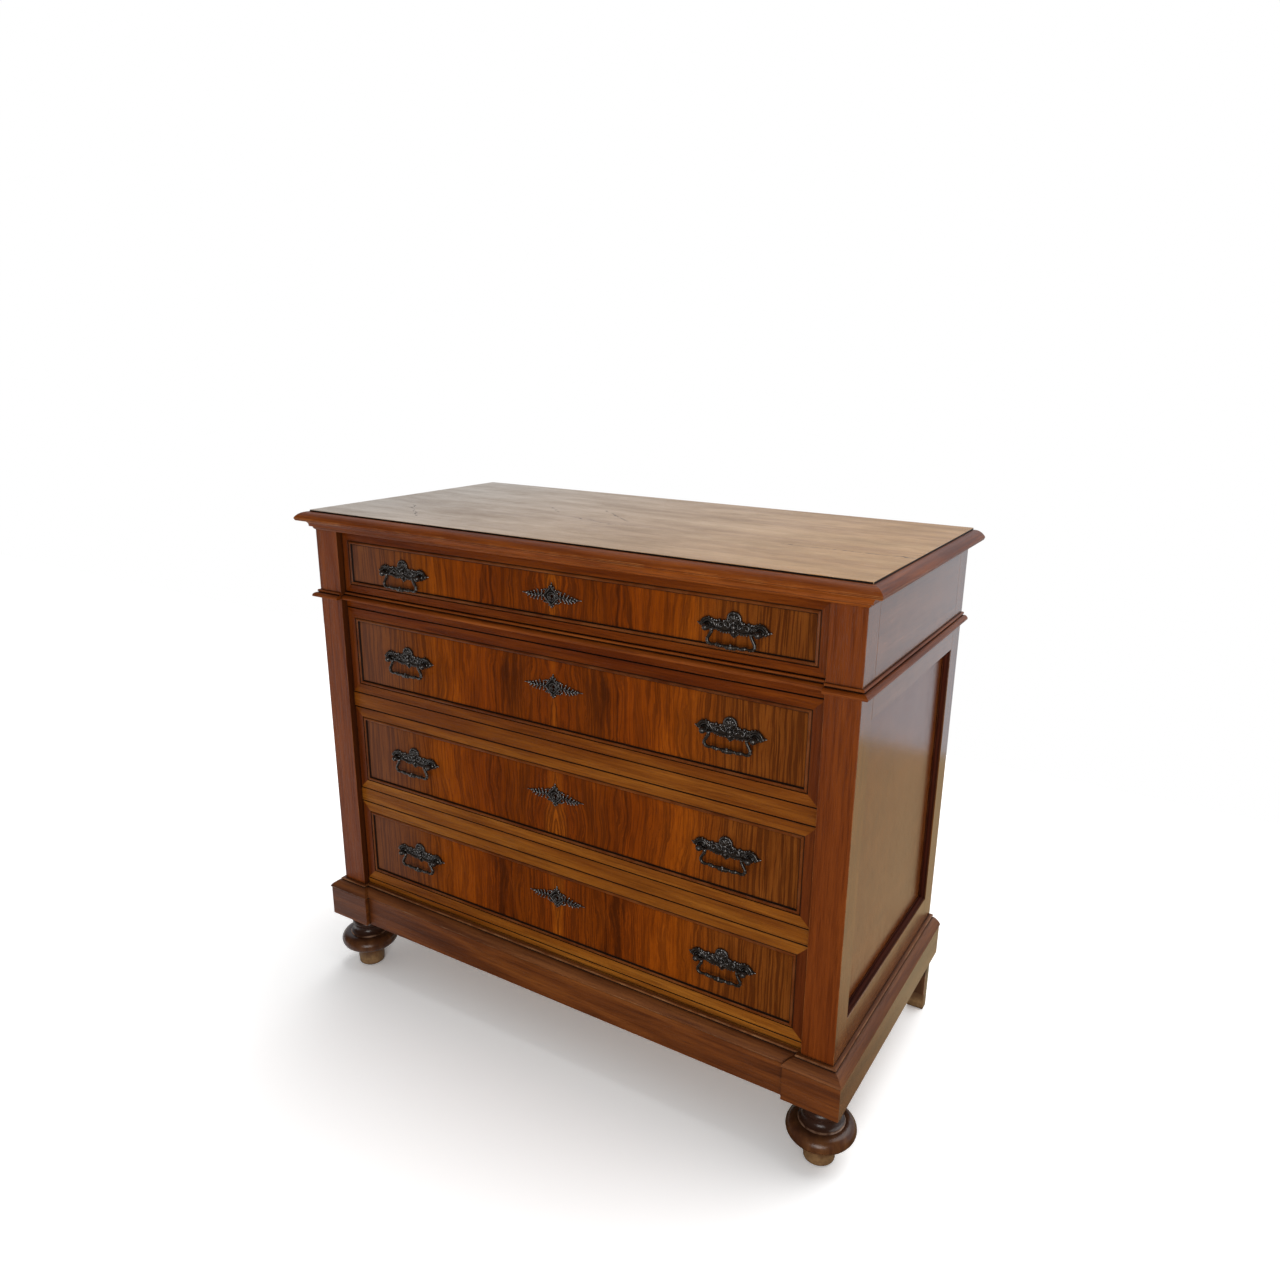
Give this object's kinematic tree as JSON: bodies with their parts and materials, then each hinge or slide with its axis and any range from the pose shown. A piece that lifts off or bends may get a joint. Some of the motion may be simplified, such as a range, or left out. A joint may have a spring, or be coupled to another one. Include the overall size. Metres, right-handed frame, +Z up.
{
  "type": "chest of drawers",
  "caption": "Walnut commode with a shallow drawer over deep drawers, corner posts, moulded top and waist, framed sides, stepped plinth, bun feet in front and square feet behind.",
  "frame": {"origin": "on the floor, under the middle of the whole chest", "axes": "+X to the right when facing the drawers, +Y towards the back, +Z up"},
  "size_m": [1.17, 0.555, 0.995],
  "materials": {
    "walnut_top": "worn faded wax, long grain from side to side",
    "walnut": "old shellac and wax polish, straight grain",
    "walnut_veneer": "figured walnut veneer, old shellac polish",
    "walnut_moulding": "old wax polish with dark quirks",
    "stained_beech": "turned, dark stain, glossy old polish",
    "pine": "unfinished pine, darkened with age",
    "dark_bronze": "cast, dark brown patina with rubbed highlights",
    "lock_iron": "filed iron, lightly oxidised"
  },
  "bodies": {
    "carcase": {"top_board": "walnut_top", "top_edge_moulding": "walnut_moulding", "bed_moulding": "walnut_moulding", "front_posts": "walnut", "rear_posts": "walnut", "side_rails": "walnut", "side_panels": "walnut_veneer", "side_panel_moulding": "walnut_moulding", "waist_moulding": "walnut_moulding", "front_rails": "walnut", "runners_and_stops": "pine", "back_boards": "pine", "bottom_board": "pine", "plinth_boards": "walnut", "plinth_moulding": "walnut_moulding", "feet": "stained_beech"},
    "drawer_1": {"drawer_1_front": "walnut_veneer", "drawer_1_moulding": "walnut_moulding", "drawer_1_sides": "pine", "drawer_1_back": "pine", "drawer_1_bottom": "pine", "drawer_1_lock_case": "lock_iron", "drawer_1_escutcheon": "dark_bronze", "drawer_1_handle_plates": "dark_bronze"},
    "drawer_1_bolt": {"drawer_1_lock_bolt": "lock_iron"},
    "drawer_1_bail_left": {"drawer_1_bail_left": "dark_bronze"},
    "drawer_1_bail_right": {"drawer_1_bail_right": "dark_bronze"},
    "drawer_2": {"drawer_2_front": "walnut_veneer", "drawer_2_moulding": "walnut_moulding", "drawer_2_sides": "pine", "drawer_2_back": "pine", "drawer_2_bottom": "pine", "drawer_2_lock_case": "lock_iron", "drawer_2_escutcheon": "dark_bronze", "drawer_2_handle_plates": "dark_bronze"},
    "drawer_2_bolt": {"drawer_2_lock_bolt": "lock_iron"},
    "drawer_2_bail_left": {"drawer_2_bail_left": "dark_bronze"},
    "drawer_2_bail_right": {"drawer_2_bail_right": "dark_bronze"},
    "drawer_3": {"drawer_3_front": "walnut_veneer", "drawer_3_moulding": "walnut_moulding", "drawer_3_sides": "pine", "drawer_3_back": "pine", "drawer_3_bottom": "pine", "drawer_3_lock_case": "lock_iron", "drawer_3_escutcheon": "dark_bronze", "drawer_3_handle_plates": "dark_bronze"},
    "drawer_3_bolt": {"drawer_3_lock_bolt": "lock_iron"},
    "drawer_3_bail_left": {"drawer_3_bail_left": "dark_bronze"},
    "drawer_3_bail_right": {"drawer_3_bail_right": "dark_bronze"},
    "drawer_4": {"drawer_4_front": "walnut_veneer", "drawer_4_moulding": "walnut_moulding", "drawer_4_sides": "pine", "drawer_4_back": "pine", "drawer_4_bottom": "pine", "drawer_4_lock_case": "lock_iron", "drawer_4_escutcheon": "dark_bronze", "drawer_4_handle_plates": "dark_bronze"},
    "drawer_4_bolt": {"drawer_4_lock_bolt": "lock_iron"},
    "drawer_4_bail_left": {"drawer_4_bail_left": "dark_bronze"},
    "drawer_4_bail_right": {"drawer_4_bail_right": "dark_bronze"}
  },
  "joints": [
    {"name": "drawer_1_slide", "type": "slide", "parent": "carcase", "child": "drawer_1", "axis": [0, -1, 0], "range_m": [0, 0.38]},
    {"name": "drawer_1_bolt_slide", "type": "slide", "parent": "drawer_1", "child": "drawer_1_bolt", "axis": [0, 0, 1], "range_m": [0, 0.008]},
    {"name": "drawer_1_bail_left_swing", "type": "hinge", "parent": "drawer_1", "child": "drawer_1_bail_left", "pos_m": [-0.34, -0.245, 0.8905], "axis": [-1, 0, 0], "range_deg": [-3, 170]},
    {"name": "drawer_1_bail_right_swing", "type": "hinge", "parent": "drawer_1", "child": "drawer_1_bail_right", "pos_m": [0.34, -0.245, 0.8905], "axis": [-1, 0, 0], "range_deg": [-3, 170]},
    {"name": "drawer_2_slide", "type": "slide", "parent": "carcase", "child": "drawer_2", "axis": [0, -1, 0], "range_m": [0, 0.38]},
    {"name": "drawer_2_bolt_slide", "type": "slide", "parent": "drawer_2", "child": "drawer_2_bolt", "axis": [0, 0, 1], "range_m": [0, 0.008]},
    {"name": "drawer_2_bail_left_swing", "type": "hinge", "parent": "drawer_2", "child": "drawer_2_bail_left", "pos_m": [-0.34, -0.245, 0.7235], "axis": [-1, 0, 0], "range_deg": [-10, 170]},
    {"name": "drawer_2_bail_right_swing", "type": "hinge", "parent": "drawer_2", "child": "drawer_2_bail_right", "pos_m": [0.34, -0.245, 0.7235], "axis": [-1, 0, 0], "range_deg": [-10, 170]},
    {"name": "drawer_3_slide", "type": "slide", "parent": "carcase", "child": "drawer_3", "axis": [0, -1, 0], "range_m": [0, 0.38]},
    {"name": "drawer_3_bolt_slide", "type": "slide", "parent": "drawer_3", "child": "drawer_3_bolt", "axis": [0, 0, 1], "range_m": [0, 0.008]},
    {"name": "drawer_3_bail_left_swing", "type": "hinge", "parent": "drawer_3", "child": "drawer_3_bail_left", "pos_m": [-0.34, -0.245, 0.5195], "axis": [-1, 0, 0], "range_deg": [-10, 170]},
    {"name": "drawer_3_bail_right_swing", "type": "hinge", "parent": "drawer_3", "child": "drawer_3_bail_right", "pos_m": [0.34, -0.245, 0.5195], "axis": [-1, 0, 0], "range_deg": [-10, 170]},
    {"name": "drawer_4_slide", "type": "slide", "parent": "carcase", "child": "drawer_4", "axis": [0, -1, 0], "range_m": [0, 0.38]},
    {"name": "drawer_4_bolt_slide", "type": "slide", "parent": "drawer_4", "child": "drawer_4_bolt", "axis": [0, 0, 1], "range_m": [0, 0.008]},
    {"name": "drawer_4_bail_left_swing", "type": "hinge", "parent": "drawer_4", "child": "drawer_4_bail_left", "pos_m": [-0.34, -0.245, 0.3135], "axis": [-1, 0, 0], "range_deg": [-10, 170]},
    {"name": "drawer_4_bail_right_swing", "type": "hinge", "parent": "drawer_4", "child": "drawer_4_bail_right", "pos_m": [0.34, -0.245, 0.3135], "axis": [-1, 0, 0], "range_deg": [-10, 170]}
  ]
}
